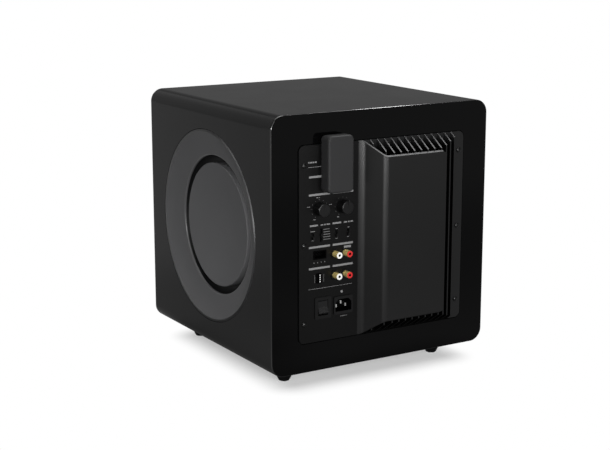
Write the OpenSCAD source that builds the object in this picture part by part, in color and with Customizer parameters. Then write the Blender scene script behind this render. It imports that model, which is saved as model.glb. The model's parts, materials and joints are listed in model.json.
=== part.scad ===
// Active subwoofer: a closed cabinet with two side-firing drivers that face away from each other,
// a rear amplifier plate with a finned heat sink under a formed cover, and a plug-in radio receiver.
// Origin: middle of the footprint on the floor. +Y is the rear, +Z is up, sizes in millimetres.

/* [Cabinet] */
// Width across the two driver sides
cab_w = 330; // [310:1:400]
// Depth from the front face to the rear face
cab_d = 336; // [320:1:400]
// Height without the feet
cab_h = 330; // [310:1:400]
// Thickness of the board that the cabinet is made of
wall = 18; // [16:0.5:22]
// Radius of the four long edges
corner_r = 17.5; // [10:0.5:30]
// Radius of the rounding on the front and rear rims
rim_r = 1.5; // [0.5:0.25:3]
// Thickness of the inner brace
brace_t = 18; // [12:1:24]
// Radius of the opening in the brace
brace_hole_r = 92; // [60:1:100]

/* [Feet] */
// Height of a foot
foot_h = 23; // [15:1:30]
// Diameter of a foot where it meets the cabinet
foot_top_d = 36; // [30:1:44]
// Diameter of a foot at the floor, before its rounding
foot_tip_d = 15; // [12:0.5:20]
// Rounding of the tip's edge
foot_edge_r = 2; // [1:0.25:3]
// Distance from the cabinet's sides to a foot's axis
foot_inset_x = 47; // [30:1:70]
// Distance from the cabinet's front and rear faces to a foot's axis
foot_inset_y = 50; // [30:1:70]

/* [Trim ring] */
// How far the ring's funnel reaches past the driver's flange
funnel_lap = 8.3; // [6:0.1:10]
// Width of the flat rim round the funnel, flush with the cabinet's side
rim_w = 3.3; // [1.5:0.1:4]
// Distance from the flange's edge in to the ring's lip
lip_in = 24.2; // [22:0.1:26]
// Depth of the inner lip below the cabinet's side
lip_depth = 12.6; // [11:0.1:13]
// Rounding of the inner lip
lip_round = 2; // [1:0.1:2.4]
// Hollow of the ring's funnel, as half of its arc's angle
funnel_bend = 8; // [3:0.5:12]
// Thickness of the ring's funnel
ring_t = 2.2; // [1.5:0.1:2.6]
// Thickness of the ring's rim
rim_t = 5; // [4:0.1:6]

/* [Driver] */
// Radius of the driver frame's flange
flange_r = 117; // [110:0.5:122]
// Distance from the flange's edge in to the diaphragm's edge
dish_in = 34; // [31:0.5:39]
// Depth of the diaphragm's rim below the cabinet's side
dish_depth = 13.5; // [11:0.5:16]
// How far the diaphragm's middle lies below its rim
dish_sag = 8; // [4:0.5:11]
// Thickness of the diaphragm
dish_t = 1.2; // [0.8:0.1:2]
// Travel of the cone each way
throw = 8.5; // [4:0.5:9]
// Thickness of the driver frame's flange
flange_t = 3.5; // [3:0.1:4]
// Distance from the flange's edge in to the driver screws
driver_screw_in = 6.5; // [5:0.5:8.5]
// Number of driver screws
driver_screws_n = 8; // [4:1:10]
// Thickness of the ring glued behind the driver opening
doubler_t = 15; // [12:1:18]
// Radius of the voice coil's tube
coil_r = 25.3; // [20:0.1:28]
// Radius of the magnet
magnet_r = 68; // [60:1:74]
// Thickness of the magnet
magnet_t = 20; // [16:1:24]
// Number of windows in the driver frame
windows_n = 6; // [4:1:8]

/* [Amplifier plate] */
// Width and height of the plate
plate_s = 252; // [250:1:258]
// Radius of the plate's corners
plate_r = 8; // [4:0.5:12]
// Gap between the plate and its recess
plate_gap = 1.5; // [0.5:0.1:2]
// How far the plate stands out of the rear face
plate_out = 1; // [0.5:0.1:1.6]
// Thickness of the sheet
sheet_t = 2; // [1.5:0.1:2.4]
// Thickness of a gasket
gasket_t = 1; // [0.6:0.1:1.6]
// Width of the ledge that carries the plate
ledge_w = 16; // [14:0.5:18]
// Distance of the plate's screws from its edge
plate_screw_inset = 7.5; // [6:0.5:9]
// Height of the upper and lower plate screws above and below the middle
plate_screw_z = 101; // [90:1:108]

/* [Heat sink and cover] */
// How far the cover stands out of the rear face
cover_out = 26; // [22:0.5:32]
// Where the cover's slope would meet the plate
slope_x = 33.7; // [30:0.1:36]
// Angle of the cover's slope
slope_a = 50.7; // [45:0.1:60]
// Radius of the bend at the foot of the slope
bend_in_r = 12.7; // [8:0.1:14]
// Radius of the bend at the top of the slope
bend_out_r = 10.7; // [6:0.1:12]
// Free edge of the cover
cover_edge_x = -80.7; // [-84:0.1:-78]
// Radius of the cover's free corners
cover_corner_r = 5.5; // [3:0.5:9]
// Slant of the cover's upper and lower edges
cover_slant = 0.79; // [0.7:0.01:0.9]
// Slant of the fins' ends
fin_slant = 0.667; // [0.55:0.001:0.7]
// Place of the first fin
fin_x = 20.9; // [20:0.1:22]
// Distance from fin to fin
fin_pitch = 10.5; // [10.3:0.1:10.6]
// Number of fins
fins_n = 13; // [10:1:13]
// Thickness of a fin
fin_t = 1.8; // [1.2:0.1:2.4]
// Distance kept between the fins' tips and the cover's slope
fin_slope_gap = 4.2; // [1:0.1:6]
// Height of the first fin outside the cover
open_fin_h = 19.5; // [16:0.5:21]
// Loss of height from one open fin to the next
open_fin_drop = 5.3; // [3:0.1:6]
// Thickness of the heat sink's base behind the plate
sink_back_t = 4; // [3:0.5:6]

/* [Controls] */
// Diameter of a knob
knob_d = 17; // [14:0.5:20]
// How far a knob stands out of the rear face
knob_out = 14; // [10:0.5:18]
// Height of the row of knobs
knob_z = 45.2; // [43:0.1:47]
// Place of the volume knob
volume_x = 96.3; // [94:0.1:98]
// Place of the crossover knob
crossover_x = 61.8; // [60:0.1:64]
// Number of grooves round a knob
knob_grooves = 24; // [12:1:30]
// Travel of a two-position slide switch
slide_travel = 4.6; // [3:0.1:5]
// Travel of the five-position slide switch
eq_travel = 12; // [9:0.1:12.4]
// Height of a slide switch's tip
slide_tip_h = 4; // [3:0.1:4.4]
// Width of a slide switch's tip
slide_tip_w = 2.6; // [2:0.1:3]
// Travel of a small setting slider
dip_travel = 2; // [1.5:0.1:2.2]
// Distance from one small setting slider to the next
dip_pitch = 2.8; // [2.6:0.1:3]

/* [Sockets] */
// Radius of an audio socket's barrel
rca_r = 4.15; // [4:0.05:4.3]
// Radius of an audio socket's centre hole
rca_hole_r = 1.7; // [1.6:0.05:1.8]
// How far an audio socket stands out of the rear face
rca_out = 12.8; // [11:0.1:14]
// Depth of the mains socket
inlet_depth = 16; // [14:0.5:18]
// Length of the mains socket's blades
blade_l = 11; // [9:0.5:13]
// Swing of the power rocker from one end to the other
rocker_swing = 20; // [14:1:22]

/* [Receiver] */
// Width of the plug-in receiver
rx_w = 37.5; // [34:0.5:40]
// Height of the plug-in receiver
rx_h = 71.5; // [66:0.5:76]
// Thickness of the plug-in receiver
rx_t = 17.5; // [14:0.5:20]
// Radius of its corners
rx_corner_r = 6; // [4:0.5:9]
// Rounding of its front edges
rx_edge_r = 3; // [1.5:0.25:4]
// Middle of the receiver across the plate
rx_x = 75.75; // [74:0.25:78]
// Middle of the receiver above the plate's middle
rx_z = 101.75; // [99:0.25:104]

/* [Clearances] */
// Running gap round small moving pieces
play = 0.3; // [0.2:0.05:0.4]
// Running gap between a shaft and its bush
shaft_play = 0.06; // [0.03:0.01:0.09]
// Gap round a screw in its hole
screw_play = 0.1; // [0.05:0.05:0.2]

/* [Hidden] */
$fn = 96;
eps = 0.01;

// Places of the cabinet in the frame
front_y = -(cab_d + cover_out) / 2;
rear_y = front_y + cab_d;
mid_y = front_y + cab_d / 2;
mid_z = foot_h + cab_h / 2;
inner_w = cab_w - 2 * wall;
inner_h = cab_h - 2 * wall;
brace_room = 40;
brace_foot_h = 30;

// Feet and their screws
foot_x = cab_w / 2 - foot_inset_x;
foot_y = cab_d / 2 - foot_inset_y;
foot_well_r = 3.6;
foot_well_h = foot_h / 2;
foot_screw_r = 2;
foot_head_gap = 0.4;
foot_bite = wall * 2 / 3;
screw_head_h = 2.4;

// Cutters reach this far past the faces that they open
past = 1;

// Driver depths, measured inwards from the cabinet's side
funnel_out_r = flange_r + funnel_lap;
ring_r = funnel_out_r + rim_w;
rim_edge_r = 0.8;
lip_r = flange_r - lip_in;
dish_r = flange_r - dish_in;
driver_screw_r = flange_r - driver_screw_in;
ring_gap = 0.4;
flange_gap = 0.8;
flange_depth = wall - gasket_t - flange_t;
flange_land = 13;
step_r = flange_r - flange_land;
step_w = 7;
step_inner_r = step_r - step_w;
step_t = 2;
step_depth = flange_depth + 3;
surround_t = 1.2;
roll_steps = 12;
glue_gap = 0.2;
skirt_h = 15;
skirt_end = dish_depth + skirt_h;
edge_w = 2;
cone_h = 26;
cone_neck_depth = skirt_end + cone_h;
spider_in = 21;
spider_outer_r = dish_r - spider_in;
spider_clamp_w = 3;
spider_clamp_r = spider_outer_r - spider_clamp_w;
spider_depth = cone_neck_depth + 1;
spider_drop = 12;
spider_t = 0.8;
cast_t = 2.6;
knee_r = dish_r + edge_w + 3;
knee_depth = skirt_end + throw + 4;
shelf_r = spider_outer_r + 1;
neck_r = shelf_r + 4;
frame_neck_depth = spider_depth + spider_drop + throw + 4;
frame_end = frame_neck_depth + 6;
window_top = step_depth + 8;
window_end = spider_depth - 4;
window_w = neck_r * 0.7;
top_plate_t = 8;
yoke_t = 8;
coil_wall = 0.6;
winding_t = 1;
coil_gap = 0.9;
pole_r = coil_r - coil_wall - coil_gap;
gap_r = coil_r + winding_t + coil_gap;
top_plate_r = magnet_r - 6;
yoke_r = magnet_r - 4;
magnet_hole_r = gap_r + 8;
magnet_front = frame_end + top_plate_t;
magnet_end = magnet_front + magnet_t;
yoke_end = magnet_end + yoke_t;
winding_l = top_plate_t + throw;
winding_mid = frame_end + top_plate_t / 2;
driver_hole_r = flange_r + flange_gap;
doubler_w = 12;
doubler_r = driver_hole_r + doubler_w;
doubler_hole_r = step_r + flange_gap;
driver_shank_r = 2;
driver_head_r = 3.8;

// Amplifier plate: distances outwards from the cabinet's rear face
plate_back = plate_out - sheet_t;
recess_out = plate_back - gasket_t;
half_plate = plate_s / 2;
plate_screw_x = half_plate - plate_screw_inset;
recess_s = plate_s + 2 * plate_gap;
cutout_s = recess_s - 2 * ledge_w;
screw_shank_r = 1.75;
screw_head_r = 3.5;
plate_screw_l = 14;
recess_r = plate_r + plate_gap;

// Cover: bends of the formed sheet
slope_run = (cover_out - plate_out) / tan(slope_a);
bend_in_x = slope_x + bend_in_r * tan(slope_a / 2);
bend_out_x = slope_x - slope_run - bend_out_r * tan(slope_a / 2);
cover_end_z = half_plate - cover_slant * (cover_out - plate_out);
bend_steps = 12;

// Heat sink
fin_full = cover_out - sheet_t - plate_out;
sink_left_x = slope_x - 3;
sink_tongue_x = bend_in_x + 3;
sink_flange_x = -cutout_s / 2;
sink_back = plate_back - sink_back_t;

// Boards inside, hung on pillars behind the heat sink
pillar_l = 14;
pillar_r = 3;
board_t = 1.6;
board_out = sink_back - pillar_l;
board_right = -cutout_s / 2 + 8;
board_left = sink_left_x - 8;
board_gap = 8;
board_top = cutout_s / 2 - 8;
pillar_inset = 6;
chip = [16, 20, 5];
chip_pitch = 22;
core = [40, 46, 32];
core_x = 28;
can_x = 18;
can_pitch = 24;
can_drop = 14;
can_r = 11;
can_h = 36;
choke_r = 10;
choke_h = 16;

// Control parts behind the plate
body_depth = 9;
io_out = plate_back - body_depth - board_t;
io_left = cutout_s / 2 - 1;
io_right = sink_tongue_x + 1;
io_top = cutout_s / 2 - 6;
io_rise = 66;
io_bottom = io_rise - half_plate;
pot_w = 14;
pot_floor_t = 1.5;
shaft_end = io_out + board_t + pot_floor_t + 0.5;
bush_r = 3.6;
shaft_r = 3;
knob_back = plate_out + 0.6;
column_a_in = 29;
column_b_in = 64;
column_a_x = half_plate - column_a_in;
column_b_x = half_plate - column_b_in;
auto_x = column_a_x + 9;
eq_x = column_a_x - 3.4;
phase_x = column_b_x + 9;
mode_x = column_b_x - 8.5;
slide_drop = 34.4;
slide_z = knob_z - slide_drop;
eq_z = slide_z + 0.7;
socket_drop = 25.6;
socket_z = slide_z - socket_drop;
slider_out = plate_out + 3;
slider_foot_t = 1.6;
slider_foot_h = slide_tip_h + 2;
slider_foot_w = slide_tip_w + 1.4;
switch_wall = 1.2;
dip_x = column_a_x;
dip_drop = 28.7;
dip_z = socket_z - dip_drop;
dip_w = 7.3;
dip_h = 4 * dip_pitch + 1.4;
dip_out = plate_out + 1;
dip_tip = 1.5;
dip_well = 2.4;
rca_x = [column_b_x + 11.5, column_b_x - 4];
rca_drop = 27.4;
rca_z = [socket_z, socket_z - rca_drop];
rca_collar_r = rca_r + 1.6;
rca_wall = 0.8;
rca_insert_r = rca_r - rca_wall;
rca_bore_l = 9;
rca_floor_t = 2;
rca_lap = 0.6;
terminal_x = column_a_x - 1.5;
terminal_z = socket_z + 1.3;
terminal_w = 19;
terminal_h = 11;
terminal_wall = 1.4;
terminal_out = plate_out + 0.6;
terminal_depth = plate_out - io_out - board_t - terminal_wall;
terminal_pins = 4;
terminal_pitch = 4;
pin_l = 5;
pin_s = 1;
inlet_x = column_b_x - 1.2;
inlet_rise = 43.4;
inlet_z = inlet_rise - half_plate;
inlet_w = 24;
inlet_h = 16;
inlet_wall = 1.6;
inlet_cut = 4.5;
inlet_flange = 1.6;
inlet_lap_x = inlet_wall + 0.5;
inlet_lap_z = inlet_wall + 2;
rocker_x = column_a_x - 6;
rocker_z = inlet_z;
rocker_w = 14;
rocker_r = 9.6;
rocker_pivot_out = plate_out - 4;
rocker_dish = 1.6;
rocker_rise = 4.6;
frame_w = 24;
frame_h = 28;
frame_depth = 16;
bezel_t = 1.2;
bezel_r = 1.5;
frame_box_w = frame_w - 2 * bezel_r;
frame_box_h = frame_h - 2 * bezel_r;
pivot_r = 1.5;
port_x = rx_x;
port_in = 34;
port_z = half_plate - port_in;
port_w = 22;
port_h = 10;
port_out = plate_out + 0.7;
port_depth = 8;
rx_back = port_out + play;
rx_base_t = 3;
rx_step = 0.4;
port_wall = 1.5;
plug_w = port_w - 2 * port_wall;
plug_h = port_h - 2 * port_wall;
plug_l = 7;

// Colours
lacquer = "#141416";
satin = "#3a3a3c";
plate_colour = "#2b2b2d";
steel = "#9a9ca0";
black_plastic = "#1c1c1e";
rubber = "#161616";
raw_board = "#8a6a48";
circuit_green = "#1f4a2c";

// Points on an arc, for outlines that are turned or extruded
function on_circle(c, r, a) = c + r * [cos(a), sin(a)];
function arc(c, r, a0, a1, n = 8) = [for (i = [0:n]) on_circle(c, r, a0 + (a1 - a0) * i / n)];

// Rounded rectangle about the middle
module rounded_rect(w, h, r) {
    square([w - 2 * r, h], center = true);
    square([w, h - 2 * r], center = true);
    for (sx = [-1, 1], sy = [-1, 1]) translate([sx * (w / 2 - r), sy * (h / 2 - r)]) circle(r);
}

// On the rear face: x across, y up, z outwards
module on_rear(x = 0, z = 0, out = 0) {
    translate([x, rear_y + out, mid_z + z]) rotate([-90, 0, 0]) mirror([0, 1, 0]) children();
}

// On a driver side (1 right, -1 left): z outwards from the cabinet's side, on the driver's axis
module on_side(side) {
    translate([side * cab_w / 2, mid_y, mid_z]) rotate([0, side * 90, 0]) children();
}

// Turned piece of a driver, from an outline of radius and depth
module turned(outline) {
    rotate_extrude() polygon([for (p = outline) [p[0], -p[1]]]);
}

// A straight box from out a to out b on the rear face
module rear_box(x, z, w, h, a, b) {
    on_rear(x, z, a) linear_extrude(b - a) square([w, h], center = true);
}

// A round hole or post from out a to out b on the rear face
module rear_rod(x, z, r, a, b) {
    on_rear(x, z, a) cylinder(r = r, h = b - a);
}

// Cabinet

// Board with the cabinet's outline and a rounded outer rim; its outer face is at the top
module rimmed_board() {
    rim = arc([corner_r - rim_r, wall - rim_r], rim_r, 0, 90, 5);
    profile = concat([[0, 0], [corner_r, 0]], rim, [[0, wall]]);
    hull() for (sx = [-1, 1], sy = [-1, 1])
        translate([sx * (cab_w / 2 - corner_r), sy * (cab_h / 2 - corner_r), 0])
            rotate_extrude($fn = 64) polygon(profile);
}

module driver_opening(side) {
    on_side(side) {
        translate([0, 0, -rim_t]) cylinder(r = ring_r + ring_gap, h = rim_t + past);
        translate([0, 0, -wall - past]) cylinder(r = driver_hole_r, h = wall + 2 * past);
    }
}

module at_feet() {
    for (sx = [-1, 1], sy = [-1, 1]) translate([sx * foot_x, mid_y + sy * foot_y, 0]) children();
}

module cabinet_sleeve() {
    color(lacquer) difference() {
        translate([0, front_y + wall, mid_z]) rotate([-90, 0, 0])
            linear_extrude(cab_d - 2 * wall) difference() {
                rounded_rect(cab_w, cab_h, corner_r);
                square([inner_w, inner_h], center = true);
            }
        for (side = [-1, 1]) driver_opening(side);
        at_feet() translate([0, 0, foot_h - past])
            cylinder(r = foot_screw_r + screw_play, h = foot_bite + 2 * past);
    }
}

module front_panel() {
    color(lacquer) translate([0, front_y + wall, mid_z]) rotate([90, 0, 0]) rimmed_board();
}

module rear_panel() {
    color(lacquer) difference() {
        on_rear(out = -wall) rimmed_board();
        on_rear(out = recess_out) linear_extrude(wall) rounded_rect(recess_s, recess_s, recess_r);
        on_rear(out = -wall - past) linear_extrude(wall + 2 * past) square(cutout_s, center = true);
        at_plate_screws() translate([0, 0, recess_out - plate_screw_l])
            cylinder(r = screw_shank_r + screw_play, h = plate_screw_l + past);
    }
}

// Upright board across the middle, cut away at the rear for the amplifier
module brace() {
    brace_d = cab_d - 2 * wall - brace_room;
    hole_x = mid_y - front_y - wall;
    color(raw_board) translate([-brace_t / 2, front_y + wall, mid_z]) rotate([90, 0, 90])
        linear_extrude(brace_t) difference() {
            translate([0, -inner_h / 2]) square([brace_d, inner_h]);
            translate([hole_x, 0]) circle(brace_hole_r);
            translate([brace_d, 0]) square([brace_room, inner_h - 2 * brace_foot_h], center = true);
        }
}

module at_driver_screws() {
    for (i = [0:driver_screws_n - 1]) rotate([0, 0, (i + 0.5) * 360 / driver_screws_n])
        translate([driver_screw_r, 0, 0]) children();
}

module driver_doublers() {
    color(raw_board) for (side = [-1, 1]) on_side(side) difference() {
        translate([0, 0, -wall - doubler_t]) cylinder(r = doubler_r, h = doubler_t);
        translate([0, 0, -wall - doubler_t - past]) cylinder(r = doubler_hole_r, h = doubler_t + 2 * past);
        at_driver_screws() translate([0, 0, -wall - doubler_t / 2 - 2 * past])
            cylinder(r = driver_shank_r + screw_play, h = doubler_t);
    }
}

module feet() {
    tip_r = foot_tip_d / 2;
    slope = atan((foot_top_d - foot_tip_d) / 2 / foot_h);
    outline = concat(
        [[0, 0], [tip_r - foot_edge_r, 0]],
        arc([tip_r - foot_edge_r, foot_edge_r], foot_edge_r, -90, -slope, 6),
        [[foot_top_d / 2, foot_h], [0, foot_h]]);
    color(rubber) at_feet() difference() {
        rotate_extrude() polygon(outline);
        translate([0, 0, -past]) cylinder(r = foot_well_r, h = foot_well_h + past);
        cylinder(r = foot_screw_r + screw_play, h = foot_h + past);
    }
}

module foot_screws() {
    color(steel) at_feet() translate([0, 0, foot_well_h]) {
        translate([0, 0, -screw_head_h]) cylinder(r = foot_well_r - foot_head_gap, h = screw_head_h);
        cylinder(r = foot_screw_r, h = foot_h - foot_well_h + foot_bite);
    }
}

// Drivers

// Ring whose hollow funnel runs from the cabinet's side down to a rounded lip
module trim_ring(side) {
    outer = [funnel_out_r, 0];
    inner = [lip_r + lip_round, -lip_depth];
    chord = outer - inner;
    funnel_r = norm(chord) / 2 / sin(funnel_bend);
    across = [-chord[1], chord[0]] / norm(chord);
    centre = (outer + inner) / 2 + across * funnel_r * cos(funnel_bend);
    lip_end = step_depth - surround_t;
    rim_inner_r = driver_hole_r - ring_gap;
    foot_r = step_r - 1;
    funnel = arc(centre, funnel_r, below(centre, funnel_r, outer[0]), below(centre, funnel_r, inner[0]), 24);
    lip = arc([inner[0], -lip_depth - lip_round], lip_round, 90, 180, 6);
    under_r = funnel_r + ring_t;
    under = arc(centre, under_r, below(centre, under_r, foot_r), below(centre, under_r, rim_inner_r), 12);
    rim_edge = arc([ring_r - rim_edge_r, -rim_edge_r], rim_edge_r, 0, 90, 4);
    outline = concat(funnel, lip, [[lip_r, -lip_end], [foot_r, -lip_end]], under,
        [[rim_inner_r, -rim_t], [ring_r, -rim_t]], rim_edge);
    color(satin) on_side(side) rotate_extrude($fn = 180) polygon(outline);
}

// Angle of the point on a circle's lower half that lies at a given radius from the axis
function below(centre, r, at) = -acos((at - centre[0]) / r);

// Cast frame: flange with a step for the surround, open windows, and a neck for the motor
module driver_frame(side) {
    neck_inner_r = neck_r - 4;
    floor_r = gap_r + 6;
    shelf_end = spider_depth + spider_t + 2;
    color("#2a2a2c") on_side(side) difference() {
        turned([
            [flange_r, flange_depth], [flange_r, flange_depth + flange_t],
            [step_r, flange_depth + flange_t], [step_r, step_depth + step_t + cast_t / 2],
            [knee_r + cast_t, knee_depth], [neck_r, spider_depth + cast_t], [neck_r, frame_end],
            [floor_r, frame_end], [floor_r, frame_neck_depth], [neck_inner_r, frame_neck_depth],
            [neck_inner_r, shelf_end], [spider_clamp_r, shelf_end],
            [spider_clamp_r, spider_depth + spider_t], [shelf_r, spider_depth + spider_t],
            [shelf_r, spider_depth - cast_t / 2], [knee_r, knee_depth - cast_t / 2],
            [step_r - cast_t, step_depth + step_t], [step_inner_r, step_depth + step_t],
            [step_inner_r, step_depth], [step_r, step_depth], [step_r, flange_depth]]);
        for (i = [0:windows_n - 1]) rotate([0, 0, i * 360 / windows_n])
            translate([neck_r + flange_r / 2 - cast_t, 0, -(window_top + window_end) / 2])
                cube([flange_r, window_w, window_end - window_top], center = true);
        at_driver_screws() translate([0, 0, -wall]) cylinder(r = driver_shank_r + screw_play, h = wall);
    }
}

// Rubber edge: a flap on the frame's step, then a roll down to the cone's edge
module surround(side) {
    edge = [dish_r + edge_w, skirt_end];
    clamp = [step_inner_r, step_depth - surround_t];
    span = [clamp[0] - edge[0], edge[1] - clamp[1]];
    roll = [for (i = [0:roll_steps]) let (t = i / roll_steps, bow = sin(90 * t))
        [edge[0] + span[0] * bow, clamp[1] + span[1] * (1 - bow * t)]];
    top = concat([[dish_r + glue_gap, edge[1]]], roll, [[step_r - flange_gap, clamp[1]]]);
    bottom = [for (i = [len(top) - 1:-1:0]) top[i] + [0, surround_t]];
    color(rubber) on_side(side) turned(concat(top, bottom));
}

// Stiff hollow dish with a turned-down rim that stands on the cone's edge
module diaphragm(side) {
    ball_r = (dish_r * dish_r + dish_sag * dish_sag) / 2 / dish_sag;
    reach = asin((dish_r - dish_t) / ball_r);
    n = 16;
    m = 6;
    bowl = [for (i = [0:n]) let (a = reach * i / n)
        [ball_r * sin(a), dish_depth + dish_sag - ball_r * (1 - cos(a))]];
    under = [for (i = [n:-1:0]) bowl[i] + [i == n ? -dish_t : 0, dish_t]];
    rim = [for (i = [0:m]) let (a = 90 * i / m)
        [dish_r - dish_t * (1 - sin(a)), bowl[n][1] + dish_t * (1 - cos(a))]];
    skirt = [[dish_r, skirt_end], [dish_r - 2 * dish_t, skirt_end]];
    color("#48484a") on_side(side) turned(concat(bowl, rim, skirt, under));
}

// Paper cone from the rubber edge to the voice coil
module cone(side) {
    t = 1;
    neck = coil_r + glue_gap / 2;
    ledge = dish_r - 4;
    color("#242424") on_side(side) turned([
        [dish_r, skirt_end], [dish_r, skirt_end + t], [ledge, skirt_end + t], [neck + t, cone_neck_depth],
        [neck, cone_neck_depth], [neck, cone_neck_depth - 2 * t], [ledge, skirt_end]]);
}

// Tube with its winding in the motor's gap
module voice_coil(side) {
    tube_top = cone_neck_depth - 4;
    high = winding_mid - winding_l / 2;
    low = winding_mid + winding_l / 2;
    color("#b06a3a") on_side(side) turned([
        [coil_r - coil_wall, tube_top], [coil_r, tube_top], [coil_r, high], [coil_r + winding_t, high],
        [coil_r + winding_t, low], [coil_r - coil_wall, low]]);
}

// Corrugated cloth disc that keeps the coil in the middle, with a flat edge on the frame's shelf
module spider(side) {
    waves = 5;
    steps = 4 * waves;
    wave_h = 0.5;
    inner_r = coil_r + glue_gap;
    run = spider_clamp_r - inner_r;
    wave = [for (i = [0:steps]) let (t = i / steps)
        [inner_r + run * t, spider_depth + spider_drop * (1 - t) - wave_h * sin(i * 90)]];
    top = concat(wave, [[spider_outer_r, spider_depth]]);
    under = [for (i = [len(top) - 1:-1:0]) top[i] + [0, spider_t]];
    color("#c8a050") on_side(side) turned(concat(top, under));
}

module top_plates() {
    color(steel) for (side = [-1, 1]) on_side(side) translate([0, 0, -magnet_front]) difference() {
        cylinder(r = top_plate_r, h = top_plate_t);
        translate([0, 0, -past]) cylinder(r = gap_r, h = top_plate_t + 2 * past);
    }
}

module magnets() {
    color("#303034") for (side = [-1, 1]) on_side(side) translate([0, 0, -magnet_end]) difference() {
        cylinder(r = magnet_r, h = magnet_t);
        translate([0, 0, -past]) cylinder(r = magnet_hole_r, h = magnet_t + 2 * past);
    }
}

// Back plate and pole in one piece, with a vent through the pole
module yokes() {
    color(steel) for (side = [-1, 1]) on_side(side) difference() {
        turned([[0, frame_end], [pole_r, frame_end], [pole_r, magnet_end], [yoke_r, magnet_end],
            [yoke_r, yoke_end], [0, yoke_end]]);
        translate([0, 0, -yoke_end - past]) cylinder(r = pole_r / 2, h = yoke_end);
    }
}

module driver_gaskets() {
    color(rubber) for (side = [-1, 1]) on_side(side) translate([0, 0, -wall]) difference() {
        cylinder(r = flange_r, h = gasket_t);
        translate([0, 0, -past]) cylinder(r = doubler_hole_r, h = gasket_t + 2 * past);
        at_driver_screws() translate([0, 0, -past])
            cylinder(r = driver_shank_r + screw_play, h = gasket_t + 2 * past);
    }
}

module driver_screws() {
    color(steel) for (side = [-1, 1]) on_side(side) at_driver_screws() {
        translate([0, 0, -flange_depth]) cylinder(r = driver_head_r, h = screw_head_h);
        translate([0, 0, -wall - doubler_t / 2])
            cylinder(r = driver_shank_r, h = wall + doubler_t / 2 - flange_depth);
    }
}

// Amplifier plate

module at_plate_screws(sides = [-1, 1]) {
    for (sx = sides, sz = [-1, 0, 1]) on_rear(sx * plate_screw_x, sz * plate_screw_z) children();
}

// Block with slanted upper and lower ends: square to the plate's front, then leaning in
module slanted_block(slant, x0, x1) {
    tall = cover_out + 5;
    back = -body_depth * 2;
    end_z = half_plate - slant * (tall - plate_out);
    translate([x0, rear_y, mid_z]) rotate([90, 0, 90]) linear_extrude(x1 - x0) polygon([
        [back, -half_plate], [plate_out, -half_plate], [tall, -end_z],
        [tall, end_z], [plate_out, half_plate], [back, half_plate]]);
}

// Section of the formed sheet, x across and y outwards
module sheet_section() {
    in_c = [bend_in_x, plate_out + bend_in_r];
    out_c = [bend_out_x, cover_out - bend_out_r];
    front = concat(
        [[half_plate, plate_out]],
        arc(in_c, bend_in_r, -90, -90 - slope_a, bend_steps),
        arc(out_c, bend_out_r, 90 - slope_a, 90, bend_steps),
        [[cover_edge_x, cover_out]]);
    back = concat(
        [[cover_edge_x, cover_out - sheet_t]],
        arc(out_c, bend_out_r - sheet_t, 90, 90 - slope_a, bend_steps),
        arc(in_c, bend_in_r + sheet_t, -90 - slope_a, -90, bend_steps),
        [[half_plate, plate_back]]);
    polygon(concat(front, back));
}

// Outline of the formed sheet seen from behind the object
module sheet_outline() {
    far = plate_s;
    flat_z = cover_end_z - cover_corner_r;
    intersection() {
        rounded_rect(plate_s, plate_s, plate_r);
        union() {
            translate([cover_edge_x + cover_corner_r, -far]) square([2 * far, 2 * far]);
            translate([cover_edge_x, -flat_z]) square([far, 2 * flat_z]);
            for (s = [-1, 1]) translate([cover_edge_x + cover_corner_r, s * flat_z]) circle(cover_corner_r);
        }
    }
}

// Everything that passes through the flat part of the sheet
module control_holes() {
    a = plate_back - past;
    b = plate_out + past;
    for (x = [volume_x, crossover_x]) rear_rod(x, knob_z, bush_r + screw_play, a, b);
    for (x = [auto_x, phase_x, mode_x]) slider_slot(x, slide_z, slide_travel, a, b);
    slider_slot(eq_x, eq_z, eq_travel, a, b);
    rear_box(dip_x, dip_z, dip_w + play, dip_h + play, a, b);
    for (x = rca_x, z = rca_z) rear_rod(x, z, rca_r + screw_play, a, b);
    rear_box(terminal_x, terminal_z, terminal_w + play, terminal_h + play, a, b);
    rear_box(inlet_x, inlet_z, inlet_w + 2 * inlet_wall + play, inlet_h + 2 * inlet_wall + play, a, b);
    rear_box(rocker_x, rocker_z, frame_box_w + play, frame_box_h + play, a, b);
    rear_box(port_x, port_z, port_w + play, port_h + play, a, b);
}

module slider_slot(x, z, travel, a, b) {
    rear_box(x, z, slide_tip_w + 2 * play, travel + slide_tip_h + 2 * play, a, b);
}

module control_panel() {
    color(plate_colour) difference() {
        intersection() {
            translate([0, rear_y, mid_z - half_plate]) linear_extrude(plate_s) sheet_section();
            slanted_block(cover_slant, cover_edge_x - past, half_plate + past);
            on_rear(out = plate_back - past) linear_extrude(cover_out + sheet_t + past) sheet_outline();
        }
        control_holes();
        at_plate_screws([1]) translate([0, 0, plate_back - past])
            cylinder(r = screw_shank_r + screw_play, h = sheet_t + 2 * past);
    }
}

// Height of a fin above the plate: up to the cover, clear of its slope, and falling where it is open
function slope_room(x) = (slope_x - x) * tan(slope_a) - sheet_t / cos(slope_a) - fin_slope_gap;
function open_index(x) = (cover_edge_x - x) / fin_pitch;
function fin_height(x) = x > cover_edge_x
    ? min(fin_full, slope_room(x + fin_t / 2))
    : open_fin_h - open_fin_drop * floor(open_index(x));

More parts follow.
